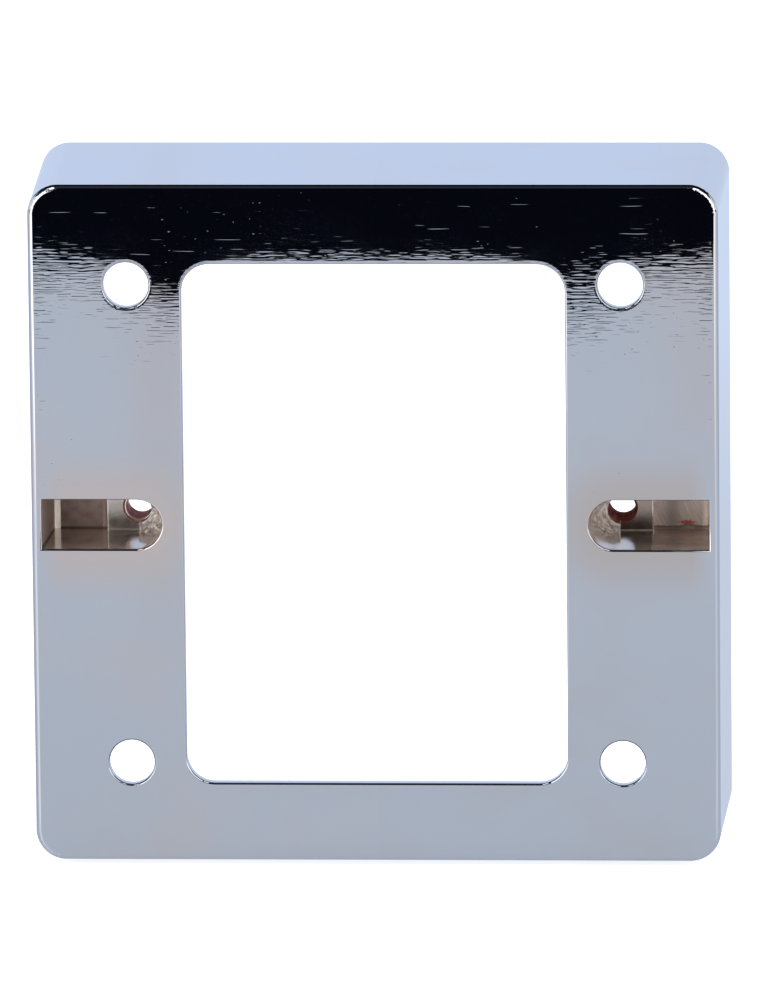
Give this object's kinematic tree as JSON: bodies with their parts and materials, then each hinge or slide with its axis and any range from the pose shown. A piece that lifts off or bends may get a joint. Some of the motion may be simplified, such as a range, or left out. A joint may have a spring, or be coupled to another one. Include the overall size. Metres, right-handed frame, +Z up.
{
  "type": "pushbutton box",
  "caption": "Square chrome-plated surface back box for a pushbutton plate: drafted walls, a windowed wall plate with wall-screw holes, and cored lugs with tapped holes for the plate.",
  "frame": {"origin": "centre of the wall face, on the plane that lies against the wall, in the middle of the wall-screw holes", "axes": "+X across the box, +Z up, +Y from the wall towards the room, so that the open rim is at +Y"},
  "size_m": [0.086, 0.028, 0.086],
  "materials": {
    "plated_casting": "bright chrome plating on a zinc die-casting, duller in the cored pockets"
  },
  "bodies": {
    "root": {"back_box": "plated_casting"}
  },
  "joints": []
}
